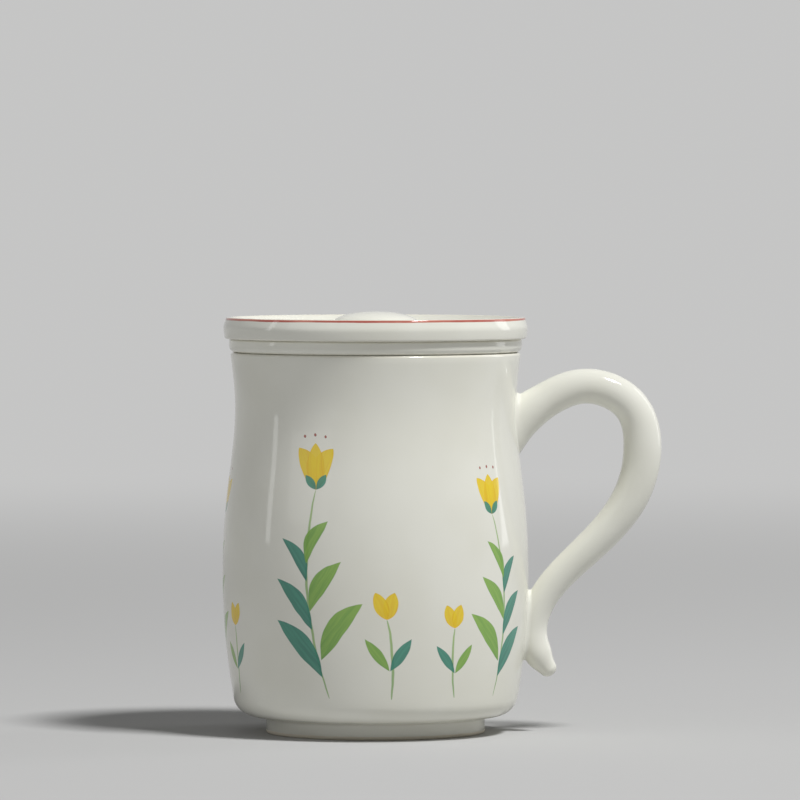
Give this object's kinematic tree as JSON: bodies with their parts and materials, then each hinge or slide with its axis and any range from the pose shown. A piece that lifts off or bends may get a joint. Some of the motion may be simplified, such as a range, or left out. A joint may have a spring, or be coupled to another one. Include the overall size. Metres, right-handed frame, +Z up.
{
  "type": "covered tea mug with infuser",
  "caption": "Covered tea mug of ivory glazed porcelain with a waisted body, a loop handle with a curled tail, a lift-out pierced infuser and a dished lid with a low knob.",
  "frame": {"origin": "middle of the foot ring on the table", "axes": "+Z up along the axis of the cup, +X to the handle"},
  "size_m": [0.1277, 0.089, 0.1225],
  "materials": {
    "cup_glaze": "clear gloss glaze over ivory porcelain with small painted sprigs, foot ring left bare",
    "plain_glaze": "clear gloss glaze over ivory porcelain",
    "lid_glaze": "clear gloss glaze over ivory porcelain with a thin red line round the rim"
  },
  "bodies": {
    "cup": {"cup_body": "cup_glaze", "cup_handle": "plain_glaze"},
    "infuser": {"infuser": "plain_glaze"},
    "lid": {"lid": "lid_glaze", "lid_knob": "plain_glaze"}
  },
  "joints": [
    {"name": "infuser_lift", "type": "slide", "parent": "cup", "child": "infuser", "axis": [0, 0, 1], "range_m": [0, 0.08]},
    {"name": "lid_lift", "type": "slide", "parent": "infuser", "child": "lid", "axis": [0, 0, 1], "range_m": [0, 0.04]}
  ]
}
